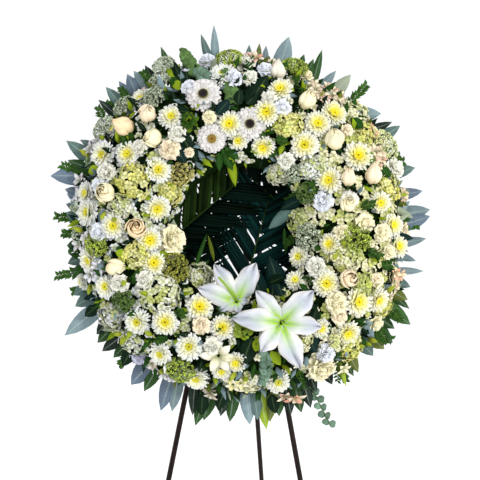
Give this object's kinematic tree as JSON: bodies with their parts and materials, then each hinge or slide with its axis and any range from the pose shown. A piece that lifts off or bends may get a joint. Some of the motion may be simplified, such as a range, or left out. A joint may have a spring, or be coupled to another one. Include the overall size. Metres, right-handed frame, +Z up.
{
  "type": "funeral wreath",
  "caption": "Ring of white and cream flowers on a foam base with palm fronds across the hole, hung on a three-legged folding wooden easel.",
  "frame": {"origin": "middle of the object's box, on the floor", "axes": "+Z up, -Y the flowered front, +X to the right as seen from the front"},
  "size_m": [0.814, 0.757, 1.534],
  "materials": {
    "white_petal": "soft matt petals",
    "rose_petal": "velvety matt petals",
    "lily_petal": "waxy satin petals",
    "green_umbel": "matt florets",
    "dark_disc": "matt florets",
    "rim_leaf": "satin leaves",
    "palm_leaf": "satin leaves",
    "green_foam": "matt wet foam",
    "tray_plastic": "matt",
    "dark_wood": "dark stain, satin",
    "steel": "plain zinc"
  },
  "bodies": {
    "wreath_and_front_frame": {"flower_bunch_01": "white_petal", "flower_bunch_02": "white_petal", "flower_bunch_03": "white_petal", "flower_bunch_04": "white_petal", "flower_bunch_05": "white_petal", "flower_bunch_06": "white_petal", "flower_bunch_07": "white_petal", "flower_bunch_08": "white_petal", "flower_bunch_09": "white_petal", "flower_bunch_10": "white_petal", "flower_bunch_11": "white_petal", "flower_bunch_12": "white_petal", "rose_01": "rose_petal", "rose_02": "rose_petal", "rose_03": "rose_petal", "rose_04": "rose_petal", "rose_05": "rose_petal", "rose_06": "rose_petal", "rose_07": "rose_petal", "rose_08": "rose_petal", "rose_09": "rose_petal", "rose_10": "rose_petal", "rose_11": "rose_petal", "rose_12": "rose_petal", "rose_13": "rose_petal", "umbel_1": "green_umbel", "umbel_2": "green_umbel", "umbel_3": "green_umbel", "umbel_4": "green_umbel", "umbel_5": "green_umbel", "umbel_6": "green_umbel", "rim_foliage_1": "rim_leaf", "rim_foliage_2": "rim_leaf", "rim_foliage_3": "rim_leaf", "rim_foliage_4": "rim_leaf", "rim_foliage_5": "rim_leaf", "rim_foliage_6": "rim_leaf", "rim_foliage_7": "rim_leaf", "rim_foliage_8": "rim_leaf", "palm_frond_1": "palm_leaf", "palm_frond_2": "palm_leaf", "palm_frond_3": "palm_leaf", "palm_frond_4": "palm_leaf", "palm_frond_5": "palm_leaf", "lily_open": "lily_petal", "lily_side": "lily_petal", "gerbera_upper": "white_petal", "gerbera_lower": "white_petal", "gerbera_centre_upper": "dark_disc", "gerbera_centre_lower": "dark_disc", "foam_ring": "green_foam", "ring_tray": "tray_plastic", "hanging_peg": "steel", "hinge_pin": "steel", "head_block": "dark_wood", "front_leg_left": "dark_wood", "front_leg_right": "dark_wood"},
    "rear_leg_body": {"rear_leg": "dark_wood"}
  },
  "joints": [
    {"name": "rear_leg_fold", "type": "hinge", "parent": "wreath_and_front_frame", "child": "rear_leg_body", "pos_m": [-0.0056, -0.09936, 1.29626], "axis": [1, 0, 0], "range_deg": [-26, 0]}
  ]
}
